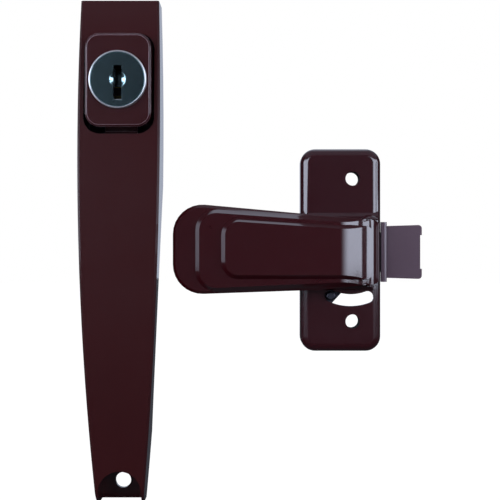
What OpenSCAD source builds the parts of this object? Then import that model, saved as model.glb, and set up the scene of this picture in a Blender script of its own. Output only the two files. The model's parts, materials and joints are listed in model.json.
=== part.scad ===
// Keyed push-button latch for a screen door: outside pull handle and inside lever latch.
// Both halves stand on the door face, the plane y = 0. The viewer is on the -Y side, +Z is up.
// The origin is midway between the two screw holes of the inside plate, on the door face.
// A depth is measured from the door face towards the viewer, so it runs along -Y.

/* [Inside plate] */
// Width of the inside plate
plate_w = 25; // [24:0.5:30]
// Height of the inside plate
plate_h = 63; // [61:0.5:76]
// Wall thickness of the inside plate
plate_wall = 1.8; // [1.4:0.1:2]
// Radius of the plate's four corners
plate_corner_r = 4.6; // [3.6:0.2:5.6]
// Radius of the plate's rounded front edge
plate_edge_r = 2.6; // [1.4:0.2:3]
// How far the plate's centre line lies left of the screw line
plate_shift = 3.7; // [3.2:0.1:3.9]
// Distance between the two plate screw holes
screw_spacing = 44.45; // [43.6:0.05:45.6]
// Diameter of the plate screw holes
screw_hole_d = 4.4; // [3.4:0.1:5]
// Wall around the plate screw holes
screw_boss_wall = 1.3; // [1:0.1:1.5]
// How far the raised saddle's top stands in front of the plate
saddle_rise = 1.1; // [0.7:0.05:1.2]

/* [Lever] */
// How far the lever reaches to the left of the screw line
lever_reach = 55.4; // [50:0.2:62]
// Height of the lever's left end above the middle
lever_top = 14.7; // [13.4:0.1:16]
// Height of the lever's left end below the middle
lever_bottom = 13.7; // [12.8:0.1:15]
// Radius of the lever's left corners
lever_corner_r = 9; // [7:0.25:10.5]
// Depth of the lever's lowest tier
lever_depth = 19; // [18.4:0.1:20]
// Distance from the pivot pin's axis to the front of the lever's lowest tier
lever_rise = 5.8; // [5.4:0.1:6.6]
// Step from one tier of the lever to the next
tier_step = 2.2; // [1.8:0.1:2.6]
// How far each tier's wall leans
tier_lean = 1.4; // [0.9:0.1:1.6]
// Wall thickness of the lever
lever_wall = 1.3; // [1.1:0.05:1.4]
// Angle that the lever swings through
lever_swing = 22; // [10:1:22]

/* [Pivot] */
// Distance of the pivot pin to the right of the screw line
pin_x = 4.8; // [4.6:0.05:5]
// Distance from the saddle's top to the pivot pin's axis
pin_stand = 3.6; // [3.5:0.05:3.8]
// Diameter of the pivot pin
pin_d = 2; // [1.6:0.1:2.1]
// Diameter of the pin's domed head
pin_head_d = 5.4; // [4.2:0.1:5.6]
// Height of the pin's domed head
pin_head_h = 1.3; // [0.8:0.05:1.4]
// Radial running clearance between the pin and the lever
pin_clearance = 0.05; // [0.02:0.01:0.08]
// Thickness of each ear that holds the pin
ear_t = 1.5; // [1.2:0.1:1.6]

/* [Bolt] */
// How far the bolt's tip reaches to the right of the screw line
bolt_reach = 21.1; // [18:0.1:26]
// Thickness of the bolt's tongue
bolt_t = 1.8; // [1.4:0.1:2.2]
// Height of the tongue at its root
tongue_h = 16; // [14:0.2:17]
// How much taller the tongue is at its tip
tongue_flare = 0.7; // [0:0.1:1]
// Depth of the hollow in the tongue's tip
tip_hollow = 0.5; // [0.3:0.05:1.2]
// Height of the bolt's thick root
root_h = 18.4; // [17.4:0.1:18.8]
// Width of the bolt's thick root
root_w = 1.75; // [1.4:0.05:2.4]

/* [Night lock] */
// Radius of the slot's middle line about the lock's axis
slot_r = 15; // [14.8:0.05:15.2]
// Width of the arc slot
slot_w = 3.7; // [3.5:0.05:3.9]
// Angle of the slot's left end from straight down
slot_left = 24.5; // [18:0.5:26]
// Angle of the slot's right end from straight down
slot_right = 20.5; // [14:0.5:20.5]
// Diameter of the knob in the slot
knob_d = 2.8; // [2.2:0.1:3]
// How far the knob stands in front of the plate
knob_stand = 2.4; // [1:0.1:4]
// Thickness of the lock disc
disc_t = 1.2; // [1:0.1:1.4]
// Diameter of the disc's hub
hub_d = 10; // [9.4:0.1:10.4]
// Radial running clearance of the hub in the plate
hub_clearance = 0.06; // [0.03:0.01:0.09]

/* [Pull handle] */
// Gap between the lever's left end and the pull handle's widest place
halves_gap = 3.85; // [2.5:0.05:20]
// Height of the pull handle's top end
handle_top = 76.6; // [76.6:0.2:84]
// Depth of the pull handle's bottom end below the origin
handle_bottom = 78; // [78:0.5:90]
// Greatest width of the pull handle
handle_w = 25.1; // [25:0.1:27]
// Radius of the handle's long side curves
handle_side_r = 1260; // [1200:20:1600]
// Greatest depth of the handle's face
handle_depth = 22; // [21:0.25:26]
// Radius of the bow in the handle's face
handle_bow_r = 454; // [430:10:560]
// Wall thickness of the pull handle
handle_wall = 1.7; // [1.4:0.05:1.75]
// Width of the bevel along the handle's edges
handle_bevel = 0.9; // [0.4:0.05:1.2]
// Radius that rounds the handle's bottom end
foot_r = 8; // [5:0.25:9]
// Width of the arched cut above the foot screw
foot_cut_w = 13.1; // [11:0.1:13.4]
// Diameter of the foot screw hole
foot_hole_d = 4.86; // [3.6:0.02:5.4]
// Height of the foot screw hole below the origin
foot_hole_z = 72.4; // [71.6:0.1:73]
// Depth of the finger gap behind the grip
grip_gap = 11; // [7:0.25:12]

/* [Push button] */
// Width of the button's face
button_w = 19.9; // [19.3:0.1:20]
// Height of the button's face
button_h = 28.2; // [27.8:0.1:28.4]
// Radius of the button's corners
button_r = 4.2; // [3.2:0.1:4.8]
// Depth of the button's face
button_depth = 22.5; // [22:0.1:24]
// Distance that the button travels
button_travel = 5; // [3:0.1:5]
// Wall thickness of the button
button_wall = 1.6; // [1.3:0.05:1.7]
// How far the button's walls spread towards the door
button_draft = 0.5; // [0.2:0.05:0.6]
// Gap between the button and its opening
button_gap = 0.3; // [0.2:0.05:0.4]
// Gap below the button
button_gap_low = 1.5; // [0.4:0.1:2]

/* [Lock] */
// Diameter of the lock cylinder's front ring
ring_d = 17.5; // [17:0.1:18]
// How far the front ring stands proud of the button
ring_stand = 1.7; // [1.4:0.1:2.4]
// Diameter of the lock cylinder's body
cylinder_d = 13.8; // [13.6:0.05:13.9]
// Diameter of the plug's body
plug_d = 11.8; // [11.6:0.05:11.9]
// Radial running clearance of the plug
plug_clearance = 0.05; // [0.02:0.01:0.08]
// Diameter of the cone around the keyway
dimple_d = 5.3; // [4:0.1:6]
// Depth of the cone around the keyway
dimple_depth = 0.7; // [0.3:0.05:0.9]
// Width of the keyway
keyway_w = 2.6; // [1.8:0.1:2.8]
// Height of the keyway
keyway_h = 11; // [9.6:0.1:11.1]
// Number of wafers in the plug
wafer_count = 5; // [3:1:5]
// Thickness of each wafer
wafer_t = 0.8; // [0.5:0.05:1]
// Reach of the lock cam from the plug's axis
cam_reach = 7.4; // [6:0.1:7.5]

/* [Rod and posts] */
// Width of the flat push rod
rod_w = 6; // [5.4:0.1:6.4]
// Thickness of the flat push rod
rod_t = 1.5; // [1.2:0.1:1.8]
// How far the push rod reaches behind the door face
rod_reach = 45; // [30:1:60]
// Diameter of the mounting posts
post_d = 6.4; // [5.6:0.1:7]
// How far the mounting posts reach behind the door face
post_reach = 22; // [18:1:30]
// Diameter of the threaded hole in each post
post_hole_d = 3.6; // [2.8:0.1:4]

/* [Hidden] */
$fn = 48;
// Paint and metal colours
paint = "#4b1f28";
steel = "#8f9296";
chrome = "#aeb6bb";
brass = "#b79a57";
// Gap between flat faces that rest on each other
seat_gap = 0.05;
// Gap between pieces that pass each other
pass_gap = 0.35;
// A small overlap that joins shapes of one piece
lap = 0.02;

// Depths that follow from the lever's: pivot pin, saddle and inside plate
pin_depth = lever_depth - lever_rise;
saddle_depth = pin_depth - pin_stand;
plate_depth = saddle_depth - saddle_rise;

// Inside plate: its right edge, its left edge and the back of its front wall
plate_right = plate_w / 2 - plate_shift;
plate_left = -plate_w / 2 - plate_shift;
web_back = plate_depth - plate_wall;
screw_z = screw_spacing / 2;
// Saddle: left end, foot of its right slope, upper and lower ends
saddle_left = plate_left + 3.2;
saddle_right = pin_x + 0.9;
saddle_top = 10.45;
saddle_bottom = -11.4;
// The saddle's upper end runs on to the right from shelf_z up
shelf_z = 9.2;
shelf_right = plate_right - 0.9;

// Lever outline, anticlockwise seen from the front, with the lowest tier's right end at lever_end
lever_end = pin_x + 3.3;
lever_span = lever_top + lever_bottom;
lever_end_top = 8.9;
lever_end_bottom = -10.2;
lever_knee_x = -11;
lever_knee_z = -12.15;
tier1_pts = [
    [-lever_reach, -lever_bottom], [lever_knee_x, lever_knee_z], [lever_end, lever_end_bottom],
    [lever_end, lever_end_top], [-lever_reach, lever_top]
];
tier1_radii = [lever_corner_r, 30, 2.4, 2.4, lever_corner_r];
tier1_end_r = lever_rise + 0.7;
// The second and third tiers bend down from this x on, about one centre
bend_x = -5;
tier3_end_r = 16;
// Distances that the second and third tiers stand in from the lever's ends and edges
tier2_in = 8.1;
tier2_pts = [
    [-lever_reach + tier2_in, -lever_bottom + 2], [lever_end - 1.7, lever_end_bottom + 0.9],
    [lever_end - 1.7, lever_end_top - 1.2], [-lever_reach + tier2_in, lever_top - 3.1]
];
tier2_radii = [5.2, 2, 2, 5.2];
tier2_end_r = tier3_end_r - tier_step;
tier2_end = lever_end - 1.5;
tier3_in = 16;
tier3_pts = [
    [-lever_reach + tier3_in, -lever_bottom + 6.1], [lever_end - 3.4, lever_end_bottom + 2.6],
    [lever_end - 3.4, lever_end_top - 3.1], [-lever_reach + tier3_in, lever_top - 5.9]
];
tier3_radii = [4, 2, 2, 4];
tier3_end = lever_end - 3;
tier2_depth = lever_depth + tier_step;
tier3_depth = tier2_depth + tier_step;
// Depth of the lever's rim under the paddle and beside the pin, and the x where it changes
paddle_rim = lever_depth - 5.8;
hub_r = 2.4;
hub_rim = pin_depth - hub_r;
end_rim = pin_depth - 1;
rim_x0 = plate_left - 3.5;
rim_x1 = plate_left + 2.5;
// Gap between each ear and the lever's side wall
ear_gap = 0.6;
// Heights of the lever's side walls at the pin
wall_top_z = lever_end_top + (lever_top - lever_end_top) * (lever_end - pin_x) / (lever_end + lever_reach);
wall_bottom_z = lever_end_bottom
    + (lever_knee_z - lever_end_bottom) * (lever_end - pin_x) / (lever_end - lever_knee_x);
ear_top_z = wall_top_z - lever_wall - ear_gap;
ear_bottom_z = wall_bottom_z + lever_wall + ear_gap;
ear_r = 1.6;
ear_right = pin_x + 1;
pin_top_z = wall_top_z + 0.32;
pin_tail_z = wall_bottom_z - 0.35;

// Bolt: the strip that runs under the pin, and the thick root beside the lever's end
bolt_back = pin_depth - 2.8;
strip_t = 1.4;
strip_left = -5;
strip_top_z = ear_top_z - ear_t - pass_gap;
strip_bottom_z = ear_bottom_z + ear_t + pass_gap;
root_x = lever_end + pass_gap;
bolt_mid_z = -0.6;
tip_h = tongue_h + tongue_flare;
rivet_x = -2.6;
rivet_z = [bolt_mid_z - 3.6, bolt_mid_z + 3.6];
rivet_d = 2.2;
rivet_len = 3;
window_left = pin_x - 4.4;
window_right = pin_x + 2.4;
window_h = 5.6;
tip_hollow_h = 10.4;

// Night lock: axis, disc depth and hub
lock_x = -0.6;
lock_z = -0.6;
washer_t = 0.35;
disc_front = web_back - washer_t - 2 * seat_gap;
disc_back = disc_front - disc_t;
disc_r = 7.2;
hub_front = saddle_depth - 0.1;
ring_t = 0.35;
ring_r = 6.3;
groove_r = 4.4;
recess_r = 6.8;
recess_back = plate_depth + 0.1;
arm_r = 17.2;
arm_w = 2.6;
arm_bend = 13.3;
arm_tip_w = 1.3;
arm_angle = -90 - slot_left;
knob_tail_d = 1.8;

// Pull handle: centre of its widest place and of its bow
handle_x = -(lever_reach + halves_gap + handle_w / 2);
wide_z = 38;
bow_z = -8;
side_off = handle_w / 2 - handle_side_r;
bow_off = handle_depth - handle_bow_r;
// The bevel's curve lies where half the width and the depth add up to one value
sum_curve = 1 / handle_side_r + 1 / handle_bow_r;
sum_z = (wide_z / handle_side_r + bow_z / handle_bow_r) / sum_curve;
sum_peak = handle_w / 2 + handle_depth
    - pow(sum_z - wide_z, 2) / (2 * handle_side_r) - pow(sum_z - bow_z, 2) / (2 * handle_bow_r);
sum_r = 1 / sum_curve;
foot_t = 2;
foot_depth = bow_off + sqrt(pow(handle_bow_r, 2) - pow(handle_bottom - foot_r + bow_z, 2));
foot_cut_z = -foot_hole_z - 1.7;
grip_top = 20;
grip_bottom = -57;
grip_r = pow((grip_top - grip_bottom) / 2, 2) / (2 * grip_gap) + grip_gap / 2;

// Push button and what it holds
button_z = 51.4;
carrier_t = 1.2;
retainer_t = 1.2;
retainer_back = 0.4;
retainer_front = retainer_back + retainer_t;
button_back = button_travel + retainer_front + pass_gap + carrier_t;
carrier_back = button_back - carrier_t;
button_foot_w = button_w + 2 * button_draft;
button_foot_h = button_h + 2 * button_draft;
opening_w = button_foot_w + 2 * button_gap;
opening_h = button_foot_h + button_gap + button_gap_low;
opening_z = button_z + (button_gap - button_gap_low) / 2;
opening_r = button_r + button_draft + button_gap;
carrier_in = 1.2;
carrier_w = button_foot_w - carrier_in;
carrier_h = button_foot_h - carrier_in;
carrier_gap = 0.2;
lip_t = 1.2;
lip_out = 1;
lip_high_z = button_foot_h / 2 + button_gap + lip_out - 0.3;
lip_low_z = button_foot_h / 2 + button_gap_low + lip_out - 0.3;
rib_back = button_back + lip_t + 0.1;
rib_t = 1.8;
spring_offset = button_h / 2 - 3.4;
pocket_r = 1.7;
pocket_wall = 0.5;
pocket_tube_d = 2 * (pocket_r + pocket_wall);
spring_z = [button_z - spring_offset, button_z + spring_offset];
pocket_top = button_depth - button_wall - 1.6;
spring_r = 1.1;
spring_wire = 0.5;
spring_pin_d = 1.2;
lip_w = 10;

// Mounting posts stand as far apart as the plate's screw holes
rod_z = 50.4;
tenon_w = rod_w - 1;
post_z = [rod_z - screw_z, rod_z + screw_z];
boss_r = post_d / 2 + 0.7;
spigot_d = 5;
post_chamfer = 0.6;
spigot_len = 7.5;
post_thread_len = 16;
retainer_screw_x = handle_w / 2 - handle_wall - 4.05;
retainer_screw_low = 18.8;
retainer_screw_high = 20.1;
retainer_screw_xz = [
    [-retainer_screw_x, rod_z - retainer_screw_low], [retainer_screw_x, rod_z + retainer_screw_high]
];
retainer_edge = 2.4;
retainer_w = handle_w - 2 * handle_wall - 2.5;
small_screw_d = 1.8;
small_head_d = 3.6;
small_head_h = 0.9;
small_screw_len = 6;
small_bore_d = small_screw_d + 2 * seat_gap;
screw_post_x = button_w / 2 - button_wall - 2.05;
screw_post_in = 3.2;
screw_post_z = button_h / 2 - screw_post_in;
screw_post_xz = [[-screw_post_x, screw_post_z], [screw_post_x, -screw_post_z]];

// Lock cylinder and plug
cylinder_back = button_back + 2.7;
ring_front = button_depth + ring_stand;
head_back = button_depth + 0.4;
head_r = ring_d / 2 - 0.5;
head_front = ring_front - 0.1;
plug_back = cylinder_back - 0.1;
tail_w = 3.4;
cam_t = 1.2;
tail_len = cam_t;
cam_back = plug_back - cam_t;
cam_head_h = 1.1;
cam_screw_d = 1.8;
nut_t = 2.6;
nut_r = cylinder_d / 2 + 1;
keyway_back = plug_back + 1.4;
keyway_mid_z = -1.3;
wafer_front = button_depth - 1.6;
wafer_pitch = (wafer_front - wafer_t - keyway_back - 0.75) / (wafer_count - 1);
wafer_w = 4.6;
wafer_h = keyway_h - 1.4;

// Points along an arc, both ends included
function arc(c, r, a0, a1, n) =
    [for (i = [0:n]) let (a = a0 + (a1 - a0) * i / n) c + r * [cos(a), sin(a)]];

// Unit vector
function unit(v) = v / norm(v);

// Angle of a vector
function angle_of(v) = atan2(v[1], v[0]);

// The smaller turn from one angle to another
function turn(a, b) = (b - a + 540) % 360 - 180;

// Arc that rounds corner q between its neighbours p and s
function fillet(p, q, s, r, n) =
    let (
        u = unit(p - q),
        v = unit(s - q),
        half = acos(u * v) / 2,
        c = q + unit(u + v) * r / sin(half),
        a = angle_of(q + u * r / tan(half) - c),
        b = angle_of(q + v * r / tan(half) - c)
    ) arc(c, r, a, a + turn(a, b), n);

// Polygon with rounded corners, from its sharp corners and one radius for each
function rounded(pts, radii, n = 8) =
    let (k = len(pts))
    [for (i = [0:k - 1]) each fillet(pts[(i + k - 1) % k], pts[i], pts[(i + 1) % k], radii[i], n)];

// Inward normal of the edge from p to q of an anticlockwise polygon
function inward(p, q) = let (e = unit(q - p)) [-e[1], e[0]];

// Anticlockwise polygon with every edge moved inwards by d
function inset(pts, d) =
    let (k = len(pts))
    [for (i = [0:k - 1])
        let (m = inward(pts[(i + k - 1) % k], pts[i]), n = inward(pts[i], pts[(i + 1) % k]))
        pts[i] + d * (m + n) / (1 + m * n)];

// Radii that go with an inset polygon
function inset_radii(radii, d) = [for (r = radii) max(r - d, 0.4)];

// Extrudes a front outline, drawn in x and z, from one depth to another
module front(back, depth) {
    rotate([90, 0, 0]) translate([0, 0, back]) linear_extrude(depth - back) children();
}

// Extrudes a profile drawn in x and depth, from one height to another
module plan(z0, z1) {
    mirror([0, 1, 0]) translate([0, 0, z0]) linear_extrude(z1 - z0) children();
}

// Extrudes a profile drawn in depth and z, over a width centred on x
module side(x, w) {
    translate([x, 0, 0]) rotate([90, 0, -90]) translate([0, 0, -w / 2]) linear_extrude(w) children();
}

// Cylinder along the depth
module round_y(x, z, back, depth, d) {
    translate([x, 0, z]) rotate([90, 0, 0]) translate([0, 0, back]) cylinder(h = depth - back, d = d);
}

// Cylinder along z at a place given by x and depth
module round_z(x, depth, z0, z1, d) {
    translate([x, -depth, z0]) cylinder(h = z1 - z0, d = d);
}

// Rectangle with round corners, centred
module round_rect(w, h, r) {
    square([w - 2 * r, h], center = true);
    square([w, h - 2 * r], center = true);
    for (sx = [-1, 1], sy = [-1, 1]) translate([sx * (w / 2 - r), sy * (h / 2 - r)]) circle(r);
}

// Plate with round corners and a rounded front edge, lying with its back at z = 0
module bullnose(w, h, depth, corner, edge) {
    hull() {
        linear_extrude(depth - edge) round_rect(w, h, corner, $fn = 40);
        for (i = [1:6]) {
            a = 15 * i;
            in = edge * (1 - cos(a));
            translate([0, 0, depth - edge * (1 - sin(a)) - lap])
                linear_extrude(lap) round_rect(w - 2 * in, h - 2 * in, corner - in, $fn = 40);
        }
    }
}

// Slot along an arc about the origin, with round ends
module arc_slot(r, w, a0, a1) {
    difference() {
        intersection() {
            circle(r + w / 2);
            polygon(concat([[0, 0]], arc([0, 0], 2 * r, a0, a1, 4)));
        }
        circle(r - w / 2);
    }
    for (a = [a0, a1]) translate(r * [cos(a), sin(a)]) circle(w / 2);
}

// Helical wire along z: mean radius, wire diameter, turns, height of its middle line, and the
// lengths of the straight legs at its two ends
module coil(r, wire, turns, height, leg_0 = 0, leg_1 = 0, per_turn = 12, sides = 6) {
    lean = atan2(height / turns, 2 * PI * r);
    steps = turns * per_turn;
    helix = [for (i = [0:steps]) [360 * i / per_turn, 0, height * i / steps]];
    stations = concat(
        leg_0 > 0 ? [[0, -leg_0, 0]] : [],
        helix,
        leg_1 > 0 ? [[360 * turns, leg_1, height]] : []
    );
    points = [for (s = stations, j = [0:sides - 1])
        let (
            a = s[0],
            b = 360 * j / sides,
            out = r + wire / 2 * cos(b),
            up = wire / 2 * sin(b),
            along = s[1] - up * sin(lean)
        )
        [out * cos(a) - along * sin(a), out * sin(a) + along * cos(a), s[2] + up * cos(lean)]];
    last = len(stations) - 1;
    walls = [for (i = [0:last - 1], j = [0:sides - 1])
        let (p = i * sides + j, q = i * sides + (j + 1) % sides)
        each [[p, p + sides, q + sides], [p, q + sides, q]]];
    polyhedron(
        points = points,
        faces = concat(
            [[for (j = [0:sides - 1]) j]],
            walls,
            [[for (j = [sides - 1:-1:0]) last * sides + j]]
        ),
        convexity = 10
    );
}

// Flat head screw along the depth: the head's flat back lies at back, the shank runs towards the viewer
module flat_screw(x, z, back) {
    difference() {
        union() {
            translate([x, -back, z]) rotate([90, 0, 0])
                cylinder(h = small_head_h, d1 = small_head_d, d2 = small_screw_d);
            round_y(x, z, back + lap, back + small_screw_len, small_screw_d);
        }
        translate([x - small_head_d, -back - 0.35, z - 0.25]) cube([2 * small_head_d, 1, 0.5]);
    }
}

// Countersunk hole for a flat head screw, through a plate with its back at back
module flat_screw_hole(x, z, back) {
    translate([x, -back, z]) rotate([90, 0, 0])
        cylinder(h = small_head_h, d1 = small_head_d + 2 * seat_gap, d2 = small_screw_d + 2 * seat_gap);
    round_y(x, z, back - 1, back + small_screw_len, small_screw_d + 2 * seat_gap);
}

// Revolves a profile, drawn in radius and depth, about an axis along the depth
module turned(x, z) {
    translate([x, 0, z]) rotate([90, 0, 0]) rotate_extrude() children();
}

// Front outline of the pull handle about its own centre line, moved in by d
module handle_outline(d) {
    intersection() {
        translate([-handle_w / 2, -handle_bottom + d])
            square([handle_w, handle_top + handle_bottom - 2 * d]);
        translate([side_off, wide_z]) circle(handle_side_r - d, $fn = 720);
        translate([-side_off, wide_z]) circle(handle_side_r - d, $fn = 720);
    }
}

// Side profile of the pull handle in depth and z, moved in by d, with its back edge at back
module handle_profile(d, back) {
    foot_z = -handle_bottom + foot_r;
    intersection() {
        translate([bow_off, bow_z]) circle(handle_bow_r - d, $fn = 720);
        union() {
            translate([back, foot_z]) square([2 * handle_depth, handle_top - d - foot_z]);
            translate([back, d - handle_bottom]) square([foot_depth - foot_r - back, foot_r]);
            translate([foot_depth - foot_r, foot_z]) circle(foot_r - d);
        }
    }
}

// Prism whose curved side bevels one long edge of the handle; the edge lies in the direction given
module bevel_prism(direction) {
    rotate([90, 0, direction]) translate([0, 0, -2 * handle_w]) linear_extrude(4 * handle_w)
        translate([sum_peak / sqrt(2) - handle_bevel / 2 - sqrt(2) * sum_r, sum_z])
            circle(sqrt(2) * sum_r, $fn = 720);
}

// Outer form of the pull handle about its own centre line
module handle_form() {
    intersection() {
        front(0, handle_depth + 1) handle_outline(0);
        side(0, handle_w + 2) handle_profile(0, 0);
        bevel_prism(-45);
        bevel_prism(225);
    }
}

// Hollow behind the handle's face
module handle_hollow() {
    intersection() {
        front(-1, handle_depth + 1) handle_outline(handle_wall);
        side(0, handle_w + 2) handle_profile(handle_wall, -1);
    }
}

// Ribs, bosses and floor cast inside the handle
module handle_inside() {
    translate([-handle_w / 2, -foot_t, -handle_bottom])
        cube([handle_w, foot_t, handle_bottom + grip_bottom - 6]);
    translate([-handle_w / 2, -handle_depth, grip_top]) cube([handle_w, handle_depth, handle_wall]);
    for (z = [opening_z + opening_h / 2, opening_z - opening_h / 2 - rib_t])
        translate([-handle_w / 2, -handle_depth, z]) cube([handle_w, handle_depth - rib_back, rib_t]);
    for (z = post_z) round_y(0, z, 0, handle_depth, 2 * boss_r);
    for (p = retainer_screw_xz) round_y(p[0], p[1], retainer_front, handle_depth, small_head_d + 0.8);
}

// Openings and bores through the handle
module handle_cuts() {
    front(rib_back - 1, handle_depth + 1)
        translate([0, opening_z]) round_rect(opening_w, opening_h, opening_r);
    front(retainer_front, rib_back) translate([0, button_z])
        round_rect(carrier_w + 2 * carrier_gap, carrier_h + 2 * carrier_gap, button_r);
    side(0, handle_w + 2)
        translate([grip_gap - grip_r, (grip_top + grip_bottom) / 2]) circle(grip_r, $fn = 180);
    round_y(0, -foot_hole_z, -1, foot_t + 1, foot_hole_d);
    front(foot_t, handle_depth) {
        translate([0, foot_cut_z]) circle(d = foot_cut_w);
        translate([-foot_cut_w / 2, -handle_bottom - 1])
            square([foot_cut_w, handle_bottom + 1 + foot_cut_z]);
    }
    for (z = post_z) round_y(0, z, -1, spigot_len + 0.2, spigot_d + 2 * seat_gap);
    for (p = retainer_screw_xz)
        round_y(p[0], p[1], retainer_front - 1, retainer_back + small_screw_len + 1, small_bore_d);
}

module pull_handle() {
    color(paint) translate([handle_x, 0, 0]) difference() {
        union() {
            difference() {
                handle_form();
                handle_hollow();
            }
            intersection() {
                handle_form();
                handle_inside();
            }
        }
        handle_cuts();
    }
}

// Threaded post that stands behind the handle and takes a screw from the inside plate
module mounting_post(z) {
    color(steel) difference() {
        union() {
            round_y(handle_x, z, -post_reach + post_chamfer, 0, post_d);
            translate([handle_x, post_reach, z]) rotate([90, 0, 0])
                cylinder(h = post_chamfer + lap, d1 = post_d - 2 * post_chamfer, d2 = post_d + 2 * lap);
            round_y(handle_x, z, -lap, spigot_len, spigot_d);
        }
        round_y(handle_x, z, -post_reach - 1, post_thread_len - post_reach, post_hole_d);
    }
}

module mounting_post_upper() {
    mounting_post(post_z[1]);
}

module mounting_post_lower() {
    mounting_post(post_z[0]);
}

module retainer_plate() {
    low = retainer_screw_xz[0][1] - retainer_edge;
    high = retainer_screw_xz[1][1] + retainer_edge;
    color(steel) translate([handle_x, 0, 0]) difference() {
        union() {
            front(retainer_back, retainer_front)
                translate([-retainer_w / 2, low]) square([retainer_w, high - low]);
            for (z = spring_z) round_y(0, z, retainer_front - lap, retainer_front + 1.4, spring_pin_d);
        }
        for (z = post_z) round_y(0, z, retainer_back - 1, retainer_front + 1, 2 * boss_r + 0.6);
        translate([-(rod_t + 1) / 2, -retainer_front - 1, rod_z - (rod_w + 1) / 2])
            cube([rod_t + 1, retainer_t + 2, rod_w + 1]);
        for (p = retainer_screw_xz) flat_screw_hole(p[0], p[1], retainer_back);
    }
}

module retainer_screws() {
    color(steel) translate([handle_x, 0, 0])
        for (p = retainer_screw_xz) flat_screw(p[0], p[1], retainer_back);
}

module button_springs() {
    length = pocket_top - retainer_front - spring_wire - 2 * seat_gap;
    color(steel) for (s = [-1, 1])
        translate([handle_x, -retainer_front - spring_wire / 2 - seat_gap, button_z + s * spring_offset])
            rotate([90, 0, 0]) coil(spring_r, spring_wire, 9, length);
}

// Outside of the push button: its walls spread towards the door and its front edge is eased
module button_shell() {
    ease = 0.6;
    hull() {
        front(button_back, button_back + lap)
            round_rect(button_foot_w, button_foot_h, button_r + button_draft, $fn = 32);
        front(button_depth - ease - lap, button_depth - ease)
            round_rect(button_w, button_h, button_r, $fn = 32);
        front(button_depth - lap, button_depth)
            round_rect(button_w - 2 * ease, button_h - 2 * ease, button_r - ease, $fn = 32);
    }
}

module push_button() {
    inner_front = button_depth - button_wall;
    color(paint) translate([handle_x, 0, button_z]) difference() {
        union() {
            difference() {
                button_shell();
                front(button_back - 1, inner_front) round_rect(
                    button_w - 2 * button_wall, button_h - 2 * button_wall, button_r - button_wall
                );
            }
            for (s = [-1, 1]) {
                round_y(0, s * spring_offset, pocket_top - 7, inner_front + lap, pocket_tube_d);
                translate([-lip_w / 2, -button_back - lip_t, s > 0 ? 0 : -lip_low_z])
                    cube([lip_w, lip_t, s > 0 ? lip_high_z : lip_low_z]);
            }
            for (p = screw_post_xz) round_y(p[0], p[1], button_back, inner_front + lap, small_head_d);
        }
        round_y(0, 0, button_back, button_depth + 1, cylinder_d + 2 * seat_gap);
        for (s = [-1, 1]) round_y(0, s * spring_offset, button_back, pocket_top, 2 * pocket_r);
        for (p = screw_post_xz)
            round_y(p[0], p[1], button_back - 1, carrier_back + small_screw_len + 1, small_bore_d);
    }
}

module lock_cylinder() {
    bore = plug_d / 2 + plug_clearance;
    lip = head_r + plug_clearance;
    chamfer = 0.35;
    color(chrome) turned(handle_x, button_z) polygon([
        [bore, cylinder_back], [cylinder_d / 2, cylinder_back], [cylinder_d / 2, button_depth],
        [ring_d / 2, button_depth], [ring_d / 2, ring_front - chamfer],
        [ring_d / 2 - chamfer / 2, ring_front],
        [lip, ring_front], [lip, head_back], [bore, head_back]
    ]);
}

module cylinder_nut() {
    nut_front = button_depth - button_wall;
    color(steel) translate([handle_x, 0, button_z]) difference() {
        round_y(0, 0, nut_front - nut_t, nut_front, 2 * nut_r);
        round_y(0, 0, nut_front - nut_t - 1, nut_front + 1, cylinder_d + 2 * seat_gap);
        for (s = [-1, 1])
            translate([-1, -nut_front + nut_t - 1.2, s * nut_r - 0.8]) cube([2, 2, 1.6]);
    }
}

module button_carrier() {
    color(steel) translate([handle_x, 0, button_z]) difference() {
        front(carrier_back, button_back) round_rect(carrier_w, carrier_h, button_r);
        for (s = [-1, 1])
            round_y(0, s * spring_offset, carrier_back - 1, button_back + 1, 2 * pocket_r + 0.2);
        translate([-rod_t / 2 - seat_gap, -button_back - 1, rod_z - button_z - tenon_w / 2 - seat_gap])
            cube([rod_t + 2 * seat_gap, carrier_t + 2, tenon_w + 2 * seat_gap]);
        for (p = screw_post_xz) flat_screw_hole(p[0], p[1], carrier_back);
    }
}

module carrier_screws() {
    color(steel) translate([handle_x, 0, button_z])
        for (p = screw_post_xz) flat_screw(p[0], p[1], carrier_back);
}

module push_rod() {
    tip = 1;
    color(steel) translate([handle_x, 0, rod_z]) {
        translate([-rod_t / 2, -button_back, -tenon_w / 2]) cube([rod_t, carrier_t + lap, tenon_w]);
        side(0, rod_t) polygon([
            [carrier_back, -rod_w / 2], [carrier_back, rod_w / 2], [tip - rod_reach, rod_w / 2],
            [-rod_reach, rod_w / 2 - tip], [-rod_reach, tip - rod_w / 2], [tip - rod_reach, -rod_w / 2]
        ]);
    }
}

module key_plug() {
    color(chrome) translate([handle_x, 0, button_z]) difference() {
        union() {
            round_y(0, 0, plug_back, head_back + 0.1, plug_d);
            turned(0, 0) polygon([
                [0, head_back + seat_gap], [head_r, head_back + seat_gap], [head_r, head_front - 0.15],
                [head_r - 0.15, head_front], [0, head_front]
            ]);
            translate([-tail_w / 2, -plug_back - lap, -tail_w / 2]) cube([tail_w, tail_len + lap, tail_w]);
        }
        turned(0, 0) polygon([
            [0, head_front - dimple_depth], [0.6, head_front - dimple_depth], [dimple_d / 2, head_front],
            [dimple_d / 2, head_front + 1], [0, head_front + 1]
        ]);
        translate([-keyway_w / 2, -head_front - 1, keyway_mid_z - keyway_h / 2])
            cube([keyway_w, head_front + 1 - keyway_back, keyway_h]);
        for (i = [0:wafer_count - 1]) wafer_box(i, seat_gap);
        round_y(0, 0, cam_back - 1, plug_back + 0.9, cam_screw_d + 2 * seat_gap);
    }
}

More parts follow.
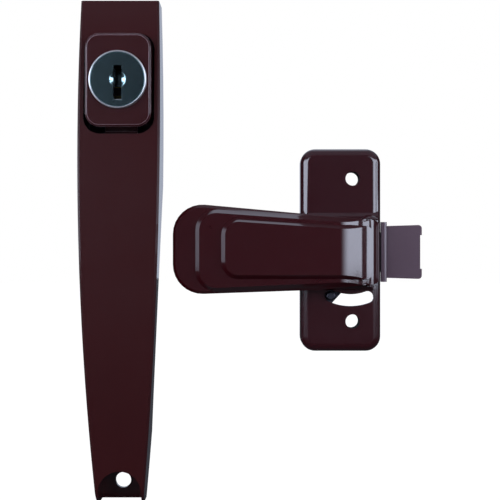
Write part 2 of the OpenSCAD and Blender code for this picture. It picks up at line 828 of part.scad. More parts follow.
// Space that one wafer takes, grown by g on every side
module wafer_box(i, g) {
    translate([-wafer_w / 2 - g, -wafer_front + i * wafer_pitch - g, -wafer_h / 2 - g])
        cube([wafer_w + 2 * g, wafer_t + 2 * g, wafer_h + 2 * g]);
}

module lock_wafers() {
    window_w = keyway_w + 0.3;
    window_h = wafer_h - 3.4;
    color(brass) translate([handle_x, 0, button_z]) for (i = [0:wafer_count - 1]) difference() {
        wafer_box(i, 0);
        translate([-window_w / 2, -handle_depth - 9, 1 - window_h / 2 + 0.4 * (i % 3 - 1)])
            cube([window_w, handle_depth + 9, window_h]);
    }
}

module lock_cam() {
    color(steel) translate([handle_x, 0, button_z]) difference() {
        front(cam_back, plug_back) {
            circle(3.4);
            translate([-2, 0]) square([4, cam_reach - 0.3]);
        }
        translate([-tail_w / 2 - seat_gap, -plug_back - 1, -tail_w / 2 - seat_gap])
            cube([tail_w + 2 * seat_gap, cam_t + 2, tail_w + 2 * seat_gap]);
    }
}

module cam_screw() {
    color(steel) translate([handle_x, 0, button_z]) {
        difference() {
            round_y(0, 0, cam_back - cam_head_h, cam_back, 5);
            translate([-3, -cam_back + cam_head_h - 0.4, -0.3]) cube([6, 1, 0.6]);
        }
        round_y(0, 0, cam_back - lap, plug_back + 0.7, cam_screw_d);
    }
}

// Raised saddle on the inside plate: its ends slope down to the plate
module saddle() {
    rise = saddle_depth - plate_depth + 0.5;
    low = saddle_depth - rise;
    intersection() {
        side(pin_x, 3 * plate_w) polygon([
            [web_back, saddle_bottom - rise], [low, saddle_bottom - rise], [saddle_depth, saddle_bottom],
            [saddle_depth, saddle_top], [low, saddle_top + rise], [web_back, saddle_top + rise]
        ]);
        plan(-plate_h / 2, plate_h / 2) polygon([
            [saddle_left - rise, web_back], [saddle_right + rise, web_back], [saddle_right + rise, low],
            [saddle_right, saddle_depth], [saddle_left, saddle_depth], [saddle_left - rise, low]
        ]);
    }
    shelf_left = saddle_right - 1;
    side((shelf_left + shelf_right) / 2, shelf_right - shelf_left) polygon([
        [web_back, shelf_z], [saddle_depth, shelf_z], [saddle_depth, saddle_top],
        [low, saddle_top + rise], [web_back, saddle_top + rise]
    ]);
}

// Ear that holds the pivot pin, from its lower face up
module ear(z) {
    plan(z, z + ear_t) {
        translate([pin_x, pin_depth]) circle(ear_r);
        translate([pin_x - ear_r, saddle_depth - 0.5])
            square([ear_right - pin_x + ear_r, pin_depth - saddle_depth + 0.5]);
    }
}

module base_plate() {
    color(paint) difference() {
        union() {
            difference() {
                translate([-plate_shift, 0, 0]) rotate([90, 0, 0])
                    bullnose(plate_w, plate_h, plate_depth, plate_corner_r, plate_edge_r);
                front(-1, web_back) translate([-plate_shift, 0]) round_rect(
                    plate_w - 2 * plate_wall, plate_h - 2 * plate_wall, plate_corner_r - plate_wall
                );
            }
            saddle();
            ear(ear_top_z - ear_t);
            ear(ear_bottom_z);
            for (s = [-1, 1])
                round_y(0, s * screw_z, 0, web_back + lap, screw_hole_d + 2 * screw_boss_wall);
        }
        for (s = [-1, 1]) round_y(0, s * screw_z, -1, plate_depth + 1, screw_hole_d);
        round_y(lock_x, lock_z, web_back - 1, saddle_depth + 1, hub_d + 2 * hub_clearance);
        round_y(lock_x, lock_z, recess_back, saddle_depth + 1, 2 * recess_r);
        front(web_back - 1, plate_depth + 1) translate([lock_x, lock_z])
            arc_slot(slot_r, slot_w, -90 - slot_left, -90 + slot_right);
        round_z(pin_x, pin_depth, ear_bottom_z - 1, ear_top_z + 1, pin_d + 0.04);
    }
}

module pivot_pin() {
    dome_r = (pow(pin_head_d / 2, 2) + pow(pin_head_h, 2)) / (2 * pin_head_h);
    tail_h = 0.45;
    color(paint) {
        round_z(pin_x, pin_depth, pin_tail_z - lap, pin_top_z + lap, pin_d);
        round_z(pin_x, pin_depth, pin_tail_z - tail_h, pin_tail_z, pin_d + 1);
        translate([pin_x, -pin_depth, pin_top_z]) rotate_extrude() intersection() {
            translate([0, pin_head_h - dome_r]) circle(dome_r, $fn = 96);
            square([pin_head_d, pin_head_h + 1]);
        }
    }
}

module lever_spring() {
    length = 4.2;
    wire = 0.6;
    mean_r = pin_d / 2 + 0.35 + wire / 2;
    color(steel) translate([pin_x, -pin_depth, bolt_mid_z - length / 2])
        rotate([0, 0, -90]) coil(mean_r, wire, 5.5, length, 3.9, 3.9);
}

// One tier of the lever: leaning walls from a wide foot to its crest
module tier(pts, radii, foot, crest) {
    wide = rounded(inset(pts, -tier_lean), [for (r = radii) r + tier_lean]);
    hull() {
        front(foot, foot + lap) polygon(wide);
        front(crest - lap, crest) polygon(rounded(pts, radii));
    }
    front(pin_depth + 1, foot + lap) polygon(wide);
}

// Prism over the lever's whole height from a profile in x and depth
module lever_plan() {
    plan(-lever_span, lever_span) children();
}

// Profile of a tier in x and depth: flat top that bends down from bend on, cut off at right
module end_profile(top, r, bend, right, floor_depth) {
    low = acos(min(1, (right - bend) / r));
    polygon(concat(
        [[-lever_reach - 5, floor_depth], [bend + r * cos(low), floor_depth]],
        arc([bend, top - r], r, low, 90, 24),
        [[-lever_reach - 5, top]]
    ));
}

// Profile of the lowest tier: its rim steps down beside the pin
module rim_profile() {
    polygon(concat(
        [
            [-lever_reach - 5, paddle_rim], [rim_x0, paddle_rim], [rim_x1, hub_rim], [pin_x, hub_rim],
            [pin_x, end_rim], [lever_end, end_rim]
        ],
        arc([lever_end - tier1_end_r, lever_depth - tier1_end_r], tier1_end_r, 0, 90, 24),
        [[-lever_reach - 5, lever_depth]]
    ));
    translate([pin_x, pin_depth]) circle(hub_r);
}

// Lowest tier: upright walls with an eased upper edge
module lowest_tier() {
    ease = 0.9;
    hull() {
        front(hub_rim - 1, hub_rim - 1 + lap) polygon(rounded(tier1_pts, tier1_radii));
        front(lever_depth - ease, lever_depth - ease + lap) polygon(rounded(tier1_pts, tier1_radii));
        front(lever_depth - lap, lever_depth)
            polygon(rounded(inset(tier1_pts, ease), inset_radii(tier1_radii, ease)));
    }
}

// Second and third tiers, kept inside the lowest tier's outline
module upper_tiers() {
    intersection() {
        front(0, 2 * lever_depth) polygon(rounded(inset(tier1_pts, seat_gap), tier1_radii));
        union() {
            intersection() {
                tier(tier2_pts, tier2_radii, lever_depth - 0.4, tier2_depth);
                lever_plan() end_profile(tier2_depth, tier2_end_r, bend_x, tier2_end, pin_depth + 1);
            }
            intersection() {
                tier(tier3_pts, tier3_radii, tier2_depth - 0.4, tier3_depth);
                lever_plan() end_profile(tier3_depth, tier3_end_r, bend_x, tier3_end, pin_depth + 1);
            }
        }
    }
}

// Hollow under one tier
module tier_hollow(pts, radii, d, top, r, bend, right) {
    intersection() {
        front(0, top - lever_wall) polygon(rounded(inset(pts, d), inset_radii(radii, d)));
        lever_plan() end_profile(top - lever_wall, r - lever_wall, bend, right - lever_wall, 0);
    }
}

module latch_lever() {
    thin = lever_wall - 0.3;
    color(paint) difference() {
        union() {
            difference() {
                union() {
                    intersection() {
                        lowest_tier();
                        lever_plan() rim_profile();
                    }
                    upper_tiers();
                }
                tier_hollow(
                    tier1_pts, tier1_radii, lever_wall, lever_depth,
                    tier1_end_r, lever_end - tier1_end_r, lever_end
                );
                tier_hollow(tier2_pts, tier2_radii, thin, tier2_depth, tier2_end_r, bend_x, tier2_end);
                tier_hollow(tier3_pts, tier3_radii, thin, tier3_depth, tier3_end_r, bend_x, tier3_end);
            }
            for (z = rivet_z)
                round_y(rivet_x, z, bolt_back + strip_t, tier3_depth - lever_wall + 0.2, rivet_d + 2.2);
        }
        round_z(pin_x, pin_depth, -lever_span, lever_span, pin_d + 2 * pin_clearance);
        for (z = rivet_z)
            round_y(rivet_x, z, bolt_back, bolt_back + strip_t + rivet_len, rivet_d + 2 * seat_gap);
    }
}

module latch_bolt() {
    tongue_left = root_x + root_w - lap;
    root_front = pin_depth + 0.6;
    ease = root_w / 2 - 0.1;
    color("#6e5a63") difference() {
        union() {
            translate([strip_left, -bolt_back - strip_t, strip_bottom_z])
                cube([root_x + lap - strip_left, strip_t, strip_top_z - strip_bottom_z]);
            plan(bolt_mid_z - root_h / 2, bolt_mid_z + root_h / 2) {
                translate([root_x, bolt_back]) square([root_w, root_front - ease - bolt_back]);
                translate([root_x, bolt_back]) square([root_w - ease, root_front - bolt_back]);
                translate([root_x + root_w - ease, root_front - ease]) circle(ease);
            }
            front(bolt_back, bolt_back + bolt_t) polygon(rounded([
                [tongue_left, bolt_mid_z - tongue_h / 2], [bolt_reach, bolt_mid_z - tip_h / 2],
                [bolt_reach, bolt_mid_z + tip_h / 2], [tongue_left, bolt_mid_z + tongue_h / 2]
            ], [0.1, 1.1, 1.1, 0.1], 6));
        }
        translate([bolt_reach - tip_hollow, -bolt_back - bolt_t - 1, bolt_mid_z - tip_hollow_h / 2])
            cube([tip_hollow + 1, bolt_t + 2, tip_hollow_h]);
        translate([window_left, -bolt_back - strip_t - 1, bolt_mid_z - window_h / 2])
            cube([window_right - window_left, strip_t + 2, window_h]);
        for (z = rivet_z)
            round_y(rivet_x, z, bolt_back - 1, bolt_back + strip_t + 1, rivet_d + 2 * seat_gap);
    }
}

module bolt_rivets() {
    color(steel) for (z = rivet_z) {
        round_y(rivet_x, z, bolt_back - 0.45, bolt_back, rivet_d + 1.4);
        round_y(rivet_x, z, bolt_back - lap, bolt_back + strip_t + rivet_len - 0.2, rivet_d);
    }
}

module night_lock_disc() {
    color(steel) translate([lock_x, 0, lock_z]) difference() {
        union() {
            front(disc_back, disc_front) {
                circle(disc_r);
                rotate(arm_angle) polygon([
                    [0, -disc_r + 1], [arm_bend, -arm_w], [arm_r, -arm_tip_w],
                    [arm_r, arm_tip_w], [arm_bend, arm_w], [0, disc_r - 1]
                ]);
            }
            round_y(0, 0, disc_front - lap, hub_front, hub_d);
        }
        difference() {
            round_y(0, 0, recess_back, recess_back + ring_t + 2 * seat_gap, hub_d + 1);
            round_y(0, 0, recess_back - 1, recess_back + ring_t + 1, 2 * groove_r);
        }
        translate([-(rod_t + 0.7) / 2, -hub_front - 1, -(rod_w + 0.8) / 2])
            cube([rod_t + 0.7, hub_front - disc_back + 2, rod_w + 0.8]);
        rotate([0, -arm_angle, 0])
            round_y(slot_r, 0, disc_back - 1, disc_front + 1, knob_tail_d + 2 * seat_gap);
    }
}

module night_lock_knob() {
    top = plate_depth + knob_stand;
    r = knob_d / 2;
    ease = 0.5;
    color(steel) turned(lock_x + slot_r * cos(arm_angle), lock_z + slot_r * sin(arm_angle)) polygon([
        [0, disc_back - 0.4], [knob_tail_d / 2 + 0.4, disc_back - 0.4], [knob_tail_d / 2 + 0.4, disc_back],
        [knob_tail_d / 2, disc_back], [knob_tail_d / 2, disc_front], [r, disc_front],
        [r, top - ease], [r - 0.15, top - 0.15], [r - ease, top], [0, top]
    ]);
}

module lock_ring() {
    color(steel) translate([lock_x, 0, lock_z])
        front(recess_back + seat_gap, recess_back + seat_gap + ring_t)
        difference() {
            circle(ring_r);
            circle(groove_r + seat_gap);
            translate([0, -1.2]) square([2 * ring_r, 2.4]);
        }
}

module wave_washer() {
    color(steel) translate([lock_x, 0, lock_z]) front(disc_front + seat_gap, web_back - seat_gap)
        difference() {
            circle(disc_r - 0.3);
            circle(hub_d / 2 + 0.15);
        }
}

pull_handle();
mounting_post_upper();
mounting_post_lower();
retainer_plate();
retainer_screws();
button_springs();
push_button();
lock_cylinder();
cylinder_nut();
button_carrier();
carrier_screws();
push_rod();
key_plug();
lock_wafers();
lock_cam();
cam_screw();
base_plate();
pivot_pin();
lever_spring();
latch_lever();
latch_bolt();
bolt_rivets();
night_lock_disc();
night_lock_knob();
lock_ring();
wave_washer();
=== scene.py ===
"""Looks of the screen door latch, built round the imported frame. Lengths are in metres."""
import json
import math

import bmesh
import bpy
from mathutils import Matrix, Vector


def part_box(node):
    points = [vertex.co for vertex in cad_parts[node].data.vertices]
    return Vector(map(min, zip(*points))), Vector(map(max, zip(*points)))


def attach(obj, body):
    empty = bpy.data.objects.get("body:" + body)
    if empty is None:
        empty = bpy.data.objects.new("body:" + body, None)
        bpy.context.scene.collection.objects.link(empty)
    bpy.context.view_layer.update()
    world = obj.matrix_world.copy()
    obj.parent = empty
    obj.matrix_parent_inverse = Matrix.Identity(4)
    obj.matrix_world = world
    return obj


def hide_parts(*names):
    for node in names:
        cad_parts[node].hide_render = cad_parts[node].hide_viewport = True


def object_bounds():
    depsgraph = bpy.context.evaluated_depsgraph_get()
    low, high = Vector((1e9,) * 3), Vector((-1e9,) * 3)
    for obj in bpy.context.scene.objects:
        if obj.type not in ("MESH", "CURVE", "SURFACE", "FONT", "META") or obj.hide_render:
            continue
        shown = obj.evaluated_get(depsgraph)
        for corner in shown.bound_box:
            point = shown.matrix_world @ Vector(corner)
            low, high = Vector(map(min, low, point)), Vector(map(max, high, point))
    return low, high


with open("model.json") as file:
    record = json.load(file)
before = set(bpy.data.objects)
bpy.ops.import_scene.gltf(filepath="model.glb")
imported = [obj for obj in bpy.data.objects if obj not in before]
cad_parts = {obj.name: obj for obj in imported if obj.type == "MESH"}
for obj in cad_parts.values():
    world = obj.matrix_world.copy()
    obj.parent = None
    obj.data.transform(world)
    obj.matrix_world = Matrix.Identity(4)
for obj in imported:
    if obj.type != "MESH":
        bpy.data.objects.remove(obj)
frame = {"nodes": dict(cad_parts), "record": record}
CAD_BOX = [list(corner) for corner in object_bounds()]
BODIES = frame["record"]["behaviour"]["bodies"]
BODY_OF = {node: body for body, nodes in BODIES.items() for node in nodes}
MM = 0.001
WHITE = (1, 1, 1, 1)


# Node trees

class Nodes:
    """A short way to build a material's node tree."""

    def __init__(self, name):
        self.material = bpy.data.materials.new(name)
        self.material.use_nodes = True
        self.start(self.material.node_tree, "ShaderNodeOutputMaterial")

    def start(self, tree, output):
        """Empties the tree and gives it its output node."""
        self.tree = tree
        self.tree.nodes.clear()
        self.out = self.tree.nodes.new(output)

    def add(self, kind, inputs=None, **settings):
        """Adds a node with its settings, and sets or links its inputs."""
        node = self.tree.nodes.new("ShaderNode" + kind)
        for key, value in settings.items():
            setattr(node, key, value)
        for key, value in (inputs or {}).items():
            self.feed(node.inputs[key], value)
        return node

    def feed(self, socket, value):
        """Links a socket's value to the input, or sets a plain value on it."""
        if isinstance(value, bpy.types.NodeSocket):
            self.tree.links.new(value, socket)
        else:
            socket.default_value = value

    def coords(self):
        return self.add("TexCoord").outputs["Object"]

    def noise(self, vector, scale, detail=3.0, roughness=0.5):
        inputs = {"Vector": vector, "Scale": scale, "Detail": detail, "Roughness": roughness}
        return self.add("TexNoise", inputs).outputs["Fac"]

    def spread(self, noise, middle, factors):
        """Maps 0-1 to the middle value times the low and the high factor."""
        low, high = (middle * factor for factor in factors)
        return self.add("MapRange", {"Value": noise, "To Min": low, "To Max": high}).outputs["Result"]

    def mix(self, factor, a, b):
        """Colour a at factor 0 and b at factor 1."""
        node = self.add("Mix", data_type="RGBA")
        factor_input, a_input, b_input, colour_output = 0, 6, 7, 2
        self.feed(node.inputs[factor_input], factor)
        self.feed(node.inputs[a_input], a)
        self.feed(node.inputs[b_input], b)
        return node.outputs[colour_output]

    def bump(self, height, strength, distance):
        inputs = {"Height": height, "Strength": strength, "Distance": distance}
        return self.add("Bump", inputs).outputs["Normal"]

    def show(self, surface):
        """Links a shader to the output."""
        self.tree.links.new(surface, self.out.inputs["Surface"])

    def finish(self, inputs):
        """Ends the tree with a Principled shader and gives the material."""
        self.show(self.add("BsdfPrincipled", inputs).outputs["BSDF"])
        return self.material


# Materials

# Noise scales, in waves per metre, along all axes or along x, y and z
TONE_PATCHES = 45
TONE_FLECKS = 900
MATT_PATCHES = 260
SKIN_PATCHES = 120
ORANGE_PEEL = 1500
STAINS = 320
SHEEN_PATCHES = 700
SCRATCHES = (3000, 3000, 200)

# Lowest and highest factor on a colour or a roughness
TONE_RANGE = (0.85, 1.15)
FLECK_TONE = 0.9
MATT_RANGE = (0.82, 1.22)
SKIN_RANGE = (0.8, 1.3)
SHEEN_RANGE = (0.75, 1.3)

RELIEF = 0.1 * MM
PEEL_STRENGTH = 0.02
SKIN_IOR = 1.62
UNDERCOAT_SPECULAR = 0.15
STAIN_ROUGHNESS = 0.6


def linear(srgb):
    """Linear colour from 0-255 sRGB."""
    out = []
    for level in srgb:
        share = level / 255
        out.append(share / 12.92 if share <= 0.04045 else ((share + 0.055) / 1.055) ** 2.4)
    return (*out, 1.0)


def scaled(colour, factor):
    return tuple(min(1.0, c * factor) for c in colour[:3]) + (1.0,)


def paint(name, srgb, roughness=0.3, gloss=0.06):
    """Glossy enamel: slow tone changes, a fine orange peel and a clear upper skin."""
    nodes = Nodes(name)
    at = nodes.coords()
    base = linear(srgb)
    dark, light = (scaled(base, factor) for factor in TONE_RANGE)
    slow = nodes.mix(nodes.noise(at, TONE_PATCHES, 2), dark, light)
    colour = nodes.mix(nodes.noise(at, TONE_FLECKS, 3), scaled(base, FLECK_TONE), slow)
    rough = nodes.spread(nodes.noise(at, MATT_PATCHES, 4), roughness, MATT_RANGE)
    skin = nodes.spread(nodes.noise(at, SKIN_PATCHES, 3), gloss, SKIN_RANGE)
    peel = nodes.bump(nodes.noise(at, ORANGE_PEEL, 2), PEEL_STRENGTH, RELIEF)
    return nodes.finish({
        "Base Color": colour, "Roughness": rough, "Normal": peel, "Specular IOR Level": UNDERCOAT_SPECULAR,
        "Coat Weight": 1.0, "Coat Roughness": skin, "Coat IOR": SKIN_IOR, "Coat Normal": peel,
    })


def metal(name, srgb, roughness, grain, spots=0.1):
    """Plated or bare metal with fine scratches and a slightly uneven sheen."""
    nodes = Nodes(name)
    at = nodes.coords()
    base = linear(srgb)
    colour = nodes.mix(nodes.noise(at, STAINS, 4, STAIN_ROUGHNESS), scaled(base, 1 - 2 * spots), base)
    rough = nodes.spread(nodes.noise(at, SHEEN_PATCHES, 4), roughness, SHEEN_RANGE)
    along = nodes.add("Mapping", {"Vector": at, "Scale": SCRATCHES}).outputs[0]
    fine = nodes.bump(nodes.noise(along, 1.0), grain, RELIEF)
    return nodes.finish({"Base Color": colour, "Metallic": 1.0, "Roughness": rough, "Normal": fine})


HANDLE_PAINT = paint("handle_enamel", (53, 12, 13))
BUTTON_PAINT = paint("button_enamel", (51, 11, 13))
# Pale enamel for the button's eased edges: a painted highlight for the bright line along its rim
BUTTON_EDGE_HIGHLIGHT = paint("button_edge_painted_highlight", (236, 196, 204), 0.35, 0.12)
PLATE_PAINT = paint("plate_enamel", (48, 9, 15))
LEVER_PAINT = paint("lever_enamel", (50, 3, 8))
# The bolt's pale grey-brown is a painted reflection: grey taken from its surroundings and painted over the
# maroon enamel
BOLT_REFLECTION_PAINT = paint("bolt_enamel_painted_reflection", (84, 62, 72), 0.35, 0.2)
STEEL = metal("zinc_steel", (168, 170, 174), 0.32, 0.15)
DARK_STEEL = metal("dark_steel", (58, 58, 64), 0.42, 0.1)
CHROME = metal("lock_face", (132, 160, 164), 0.13, 0.03, 0.03)
# Near-white rough metal for the lock's rim: a painted highlight for its bright ring
RIM_HIGHLIGHT = metal("lock_rim_painted_highlight", (236, 236, 238), 0.38, 0.03, 0.03)
BRASS = metal("wafer_brass", (226, 214, 132), 0.75, 0.1)
# Near-black lining used as painted shade in hollows: the button opening's lower end, the keyway, the upper
# wafers and the screw holes
BORE_SHADE = metal("bore_painted_shade", (22, 18, 20), 0.75, 0.1)

NODE_MATERIALS = {
    "pull_handle": HANDLE_PAINT,
    "push_button": BUTTON_PAINT,
    "base_plate": PLATE_PAINT,
    "pivot_pin": PLATE_PAINT,
    "latch_lever": LEVER_PAINT,
    "latch_bolt": BOLT_REFLECTION_PAINT,
    "lock_cylinder": CHROME,
    "key_plug": CHROME,
    "lock_wafers": BRASS,
    "night_lock_disc": DARK_STEEL,
    "night_lock_knob": DARK_STEEL,
}
for node_name, ob in frame["nodes"].items():
    ob.data.materials.clear()
    ob.data.materials.append(NODE_MATERIALS.get(node_name, STEEL))


# Eased copies of the CAD nodes

WELD = 0.002 * MM
FLAT = math.radians(0.3)
CREASE = math.radians(28)
EASE_SEGMENTS = 3
EVEN_WEIGHT = 80
SECOND_MATERIAL = 1


def join_facets(mesh):
    """Welds the facets, joins those that lie flat, and smooths all edges but the creases."""
    bm = bmesh.new()
    bm.from_mesh(mesh)
    bmesh.ops.remove_doubles(bm, verts=bm.verts, dist=WELD)
    bmesh.ops.dissolve_limit(bm, angle_limit=FLAT, verts=bm.verts, edges=bm.edges)
    for face in bm.faces:
        face.smooth = True
    for edge in bm.edges:
        edge.smooth = edge.calc_face_angle(0) < CREASE
    bm.to_mesh(mesh)
    bm.free()


def ease_edges(ob, width):
    """Rounds the creases and evens the shading beside them."""
    ease = ob.modifiers.new("ease", "BEVEL")
    ease.width = width
    ease.segments = EASE_SEGMENTS
    ease.limit_method = "ANGLE"
    ease.angle_limit = CREASE
    ease.use_clamp_overlap = True
    ease.harden_normals = True
    even = ob.modifiers.new("even", "WEIGHTED_NORMAL")
    even.keep_sharp = True
    even.weight = EVEN_WEIGHT


def polished(node, name, material, width=0):
    """Copy of a CAD node with smooth curves, shown in its place, its edges eased if a width is given."""
    mesh = frame["nodes"][node].data.copy()
    mesh.name = name
    ob = bpy.data.objects.new(name, mesh)
    bpy.context.collection.objects.link(ob)
    join_facets(mesh)
    if width:
        ease_edges(ob, width)
    mesh.materials.clear()
    mesh.materials.append(material)
    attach(ob, BODY_OF[node])
    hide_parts(node)
    return ob


def line_faces(ob, material, inside, upright=0.5):
    """Gives a second material to faces that are inside, if their normal's y is under upright."""
    ob.data.materials.append(material)
    for face in ob.data.polygons:
        if abs(face.normal.y) < upright and inside(face.center):
            face.material_index = SECOND_MATERIAL


def line_eased_edges(ob):
    """Gives the eased edges the second material too."""
    ob.modifiers["ease"].material = SECOND_MATERIAL


# Handle and button

BUTTON_LOW, BUTTON_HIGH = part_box("push_button")
BUTTON_MIDDLE = (BUTTON_LOW[0] + BUTTON_HIGH[0]) / 2
OPENING_HALF = 11 * MM
OPENING_BELOW = 2 * MM
OPENING_ABOVE = 6 * MM
RETAINER_LOW, RETAINER_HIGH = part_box("retainer_plate")
RETAINER_HALF = (RETAINER_HIGH[0] - RETAINER_LOW[0]) / 2
RETAINER_LIP = 1.1 * MM


def opening_end(middle):
    """In the lower end of the button's opening, which gets the dark lining as painted shade."""
    bottom = BUTTON_LOW[2]
    beside = abs(middle.x - BUTTON_MIDDLE) < OPENING_HALF
    return beside and bottom - OPENING_BELOW < middle.z < bottom + OPENING_ABOVE


def widen_retainer(ob):
    """Moves the long edges out to the handle's wall, so that nothing shows through beside the button."""
    for corner in ob.data.vertices:
        aside = corner.co.x - BUTTON_MIDDLE
        if abs(aside) > RETAINER_HALF - RETAINER_LIP:
            corner.co.x += math.copysign(RETAINER_LIP, aside)


pull = polished("pull_handle", "pull", HANDLE_PAINT, 0.25 * MM)
# Painted shade: the lower end of the opening is lined near-black
line_faces(pull, BORE_SHADE, opening_end)
button = polished("push_button", "button", BUTTON_PAINT, 0.34 * MM)
# The eased edges take the pale enamel as a painted highlight
button.data.materials.append(BUTTON_EDGE_HIGHLIGHT)
line_eased_edges(button)
retainer = polished("retainer_plate", "retainer", DARK_STEEL, 0.1 * MM)
widen_retainer(retainer)


# Lock

PLUG_LOW, PLUG_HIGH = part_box("key_plug")
PLUG_X = (PLUG_LOW[0] + PLUG_HIGH[0]) / 2
PLUG_Z = (PLUG_LOW[2] + PLUG_HIGH[2]) / 2
KEYWAY_HALF = 1.6 * MM
# Wafers above this height get the dark lining as painted shade; those below stay brass
BRIGHT_WAFERS_BELOW = 1.5 * MM
ALL_BUT_FRONT = 0.95
ANY_NORMAL = 2

lock = polished("lock_cylinder", "lock_body", CHROME, 0.2 * MM)
# Painted highlight: the lock body's side faces and eased edges take the near-white rim metal
line_faces(lock, RIM_HIGHLIGHT, lambda middle: True, ALL_BUT_FRONT)
line_eased_edges(lock)
plug = polished("key_plug", "plug", CHROME, 0.12 * MM)
# Painted shade: the keyway's walls are lined near-black
line_faces(plug, BORE_SHADE, lambda middle: abs(middle.x - PLUG_X) < KEYWAY_HALF)
wafers = polished("lock_wafers", "wafers", BRASS)
# Painted shade: the upper part of the wafers is lined near-black
line_faces(wafers, BORE_SHADE, lambda middle: middle.z > PLUG_Z - BRIGHT_WAFERS_BELOW, ANY_NORMAL)


# Inside half

SCREW_Z = 44.45 / 2 * MM
HOLE_R = 2.2 * MM
HOLE_MARGIN = 0.1 * MM


def screw_hole(middle):
    """On the wall of one of the plate's two screw holes."""
    return math.hypot(middle.x, abs(middle.z) - SCREW_Z) < HOLE_R + HOLE_MARGIN


plate = polished("base_plate", "plate", PLATE_PAINT, 0.2 * MM)
# Painted shade: the screw holes' walls are lined near-black
line_faces(plate, BORE_SHADE, screw_hole)
polished("latch_lever", "lever", LEVER_PAINT, 0.3 * MM)
polished("latch_bolt", "bolt", BOLT_REFLECTION_PAINT, 0.2 * MM)
polished("pivot_pin", "pin", PLATE_PAINT, 0.1 * MM)


# Camera

CAMERA_X = -31.9 * MM
CAMERA_DISTANCE = 480 * MM
LENS = 109.2
SENSOR = 36


def front_camera():
    """Camera square to the door face, level with the plate's middle."""
    data = bpy.data.cameras.new("camera")
    data.lens = LENS
    data.sensor_width = SENSOR
    ob = bpy.data.objects.new("camera", data)
    ob.location = (CAMERA_X, -CAMERA_DISTANCE, 0)
    ob.rotation_euler = (math.radians(90), 0, 0)
    bpy.context.collection.objects.link(ob)
    bpy.context.scene.camera = ob


# Floor

FLOOR_GREY = (0.1, 0.1, 0.1, 1)
FLOOR_HALF = 3.0
FLOOR_DROP = 0.2 * MM


def pale_floor():
    """Floor under the object, white to the camera and dark grey to everything else."""
    nodes = Nodes("floor")
    seen = nodes.add("LightPath").outputs["Is Camera Ray"]
    matt = nodes.add("BsdfDiffuse", {"Color": FLOOR_GREY}).outputs[0]
    glow = nodes.add("Emission", {"Color": WHITE, "Strength": 1.0}).outputs[0]
    lit = nodes.add("AddShader", {0: matt, 1: glow}).outputs[0]
    nodes.show(nodes.add("MixShader", {0: seen, 1: matt, 2: lit}).outputs[0])

    level = CAD_BOX[0][2] - FLOOR_DROP
    corners = [(x * FLOOR_HALF, y * FLOOR_HALF, level) for x, y in ((-1, -1), (1, -1), (1, 1), (-1, 1))]
    mesh = bpy.data.meshes.new("floor")
    mesh.from_pydata(corners, [], [(0, 1, 2, 3)])
    mesh.materials.append(nodes.material)
    ob = bpy.data.objects.new("floor", mesh)
    bpy.context.collection.objects.link(ob)


# World: angles in degrees, sideways from the camera's side and up from level

PANEL = 6.5
PANEL_COLOUR = (0.75, 0.82, 1.0, 1)
PANEL_RISE = 26
PANEL_FADE = 8
PANEL_RISE_FADE = 12
LEFT_FROM, LEFT_FULL, LEFT_TO = 9, 20, 98
RIGHT_FROM, RIGHT_FULL, RIGHT_TO = 6, 26, 88

GAP_FROM = 54
GAP_TO = 70
GAP_RISE = 14
GAP_FADE = 3
GAP_RISE_FADE = 2

FRONT = 0.04
BEHIND = 0.55
BEHIND_FROM = 146
BEHIND_FULL = 168
ABOVE = 0.32
ABOVE_FROM = 24
ABOVE_FULL = 38


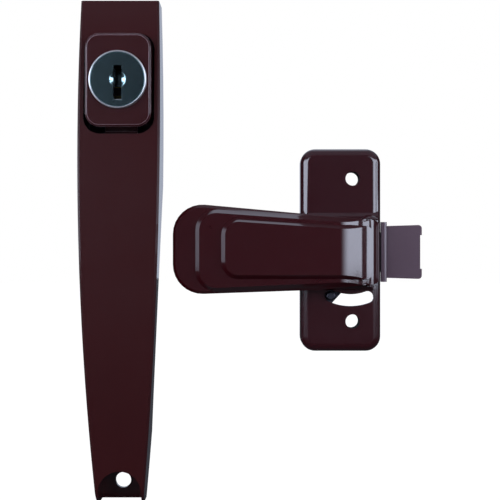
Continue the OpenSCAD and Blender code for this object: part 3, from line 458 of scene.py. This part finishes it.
class World(Nodes):
    """The same short way, for the world's tree, with sums."""

    def __init__(self):
        world = bpy.data.worlds.new("studio")
        bpy.context.scene.world = world
        world.use_nodes = True
        self.start(world.node_tree, "ShaderNodeOutputWorld")

    def math(self, operation, a, b=0.0):
        return self.add("Math", {0: a, 1: b}, operation=operation).outputs[0]

    def product(self, a, b):
        return self.math("MULTIPLY", a, b)

    def total(self, first, *others):
        for other in others:
            first = self.math("ADD", first, other)
        return first

    def opposite(self, value):
        return self.product(value, -1.0)

    def outside(self, value):
        """1 where the value is 0, and 0 where it is 1."""
        return self.math("SUBTRACT", 1.0, value)

    def step(self, value, low, high):
        """0 below low, 1 above high, smooth between."""
        inputs = {"Value": value, "From Min": low, "From Max": high}
        return self.add("MapRange", inputs, interpolation_type="SMOOTHSTEP").outputs["Result"]

    def window(self, value, low, high, fade):
        """1 between low and high, 0 beyond, with soft ends inside them."""
        ended = self.step(value, high - fade, high)
        return self.product(self.step(value, low, low + fade), self.outside(ended))

    def panel(self, aside, start, full, end):
        """Soft panel on one side: dark up to start, bright from full on, dark again from end."""
        ended = self.step(aside, end - PANEL_FADE, end)
        return self.product(self.step(aside, start, full), self.outside(ended))


def studio_world():
    """Dark studio that the gloss shows, with a panel left and right, and white to the camera.

    A gap in the right panel gives the dark stripe on the lever's bend.
    """
    world = World()
    direction = world.add("TexCoord").outputs["Generated"]
    x, y, z = world.add("SeparateXYZ", {0: direction}).outputs
    aside = world.product(world.math("ARCTAN2", x, world.opposite(y)), math.degrees(1))
    rise = world.product(world.math("ARCSINE", z), math.degrees(1))

    right = world.panel(aside, RIGHT_FROM, RIGHT_FULL, RIGHT_TO)
    left = world.panel(world.opposite(aside), LEFT_FROM, LEFT_FULL, LEFT_TO)
    band = world.window(rise, -PANEL_RISE, PANEL_RISE, PANEL_RISE_FADE)
    gap = world.product(world.window(aside, GAP_FROM, GAP_TO, GAP_FADE),
                        world.window(rise, -GAP_RISE, GAP_RISE, GAP_RISE_FADE))
    panels = world.product(world.product(world.total(left, right), band), world.outside(gap))
    behind = world.step(world.math("ABSOLUTE", aside), BEHIND_FROM, BEHIND_FULL)
    above = world.step(rise, ABOVE_FROM, ABOVE_FULL)
    level = world.total(world.product(panels, PANEL), world.product(behind, BEHIND),
                        world.product(above, ABOVE), FRONT)

    around = world.add("Background", {"Color": PANEL_COLOUR, "Strength": level}).outputs[0]
    white = world.add("Background", {"Color": WHITE, "Strength": 1.0}).outputs[0]
    path = world.add("LightPath").outputs
    seen = world.math("MAXIMUM", path["Is Camera Ray"], path["Is Transmission Ray"])
    world.show(world.add("MixShader", {0: seen, 1: around, 2: white}).outputs[0])


front_camera()
pale_floor()
studio_world()
bpy.context.scene.view_settings.view_transform = "Standard"
